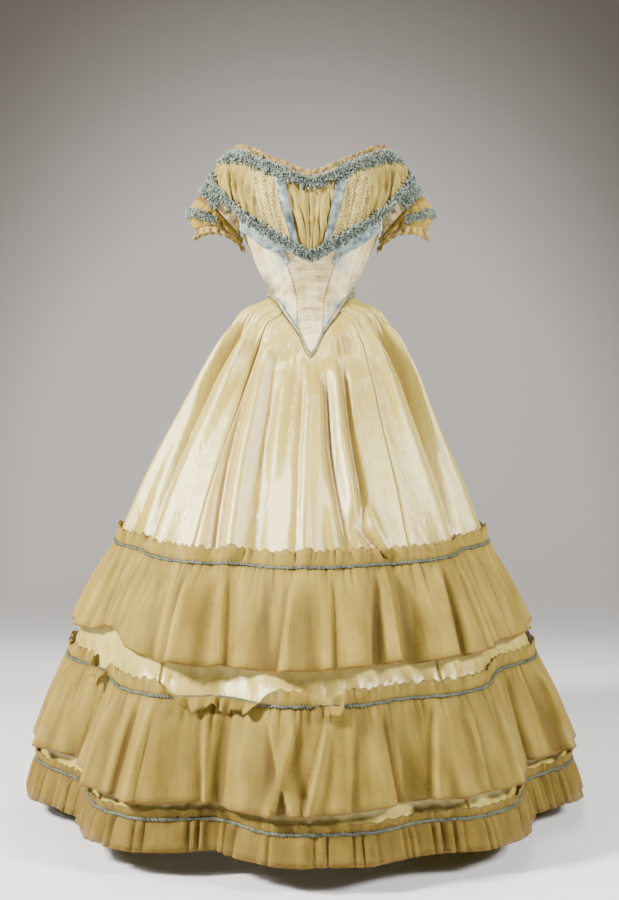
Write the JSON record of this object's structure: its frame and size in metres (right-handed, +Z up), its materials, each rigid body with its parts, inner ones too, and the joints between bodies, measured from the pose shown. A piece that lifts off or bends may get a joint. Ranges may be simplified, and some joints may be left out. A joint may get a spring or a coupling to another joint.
{
  "type": "evening dress",
  "caption": "Off-the-shoulder evening dress with a pointed bodice, draped bertha, short sleeves and a full skirt with gauze flounces.",
  "frame": {"origin": "middle of the waist, where the wearer holds the dress up", "axes": "+Z up along the wearer's height, front faces -Y, wearer's left is +X"},
  "size_m": [1.1684, 1.1654, 1.3436],
  "materials": {
    "taffeta": "crisp silk taffeta with a soft sheen, yellowed ivory",
    "bodice_silk": "cream silk, fine weave, lightly wrinkled",
    "gauze": "sheer golden beige silk gauze, matt",
    "chiffon": "soft beige gauze in pleats, matt",
    "lace": "cream silk blonde lace, open ground",
    "gold_lace": "golden brown silk lace edging",
    "ruche": "blue-grey pinked silk, fluffy",
    "braid": "blue-grey twisted silk gimp",
    "satin": "pale blue satin, glossy",
    "cream_satin": "cream satin, soft gloss"
  },
  "bodies": {
    "root": {"skirt_front": "taffeta", "flounce_upper": "gauze", "flounce_middle": "gauze", "hem_ruffle": "gauze", "braid_upper": "braid", "braid_middle": "braid", "braid_lower": "braid", "bodice_front": "bodice_silk", "waist_trim": "satin", "bertha_centre": "chiffon", "neck_lace": "gold_lace", "neck_ruche": "ruche", "bertha_ruche": "ruche", "bodice_side_front_left": "bodice_silk", "bodice_side_front_right": "bodice_silk", "bodice_side_back_left": "bodice_silk", "bodice_side_back_right": "bodice_silk", "bodice_back_left": "bodice_silk", "bodice_back_right": "bodice_silk", "seam_tab_left": "satin", "seam_tab_right": "satin", "bertha_lace_left": "lace", "bertha_lace_right": "lace", "bertha_shoulder_left": "chiffon", "bertha_shoulder_right": "chiffon", "bertha_back_left": "chiffon", "bertha_back_right": "chiffon", "satin_edge_left": "satin", "satin_edge_right": "satin", "sleeve_cap_left": "cream_satin", "sleeve_cap_right": "cream_satin", "sleeve_puff_left": "gauze", "sleeve_puff_right": "gauze", "cuff_lace_left": "gold_lace", "cuff_lace_right": "gold_lace", "sleeve_ruche_upper_left": "ruche", "sleeve_ruche_upper_right": "ruche", "sleeve_ruche_lower_left": "ruche", "sleeve_ruche_lower_right": "ruche", "skirt_side_left": "taffeta", "skirt_side_right": "taffeta", "skirt_back_left": "taffeta", "skirt_back_right": "taffeta"}
  },
  "joints": []
}
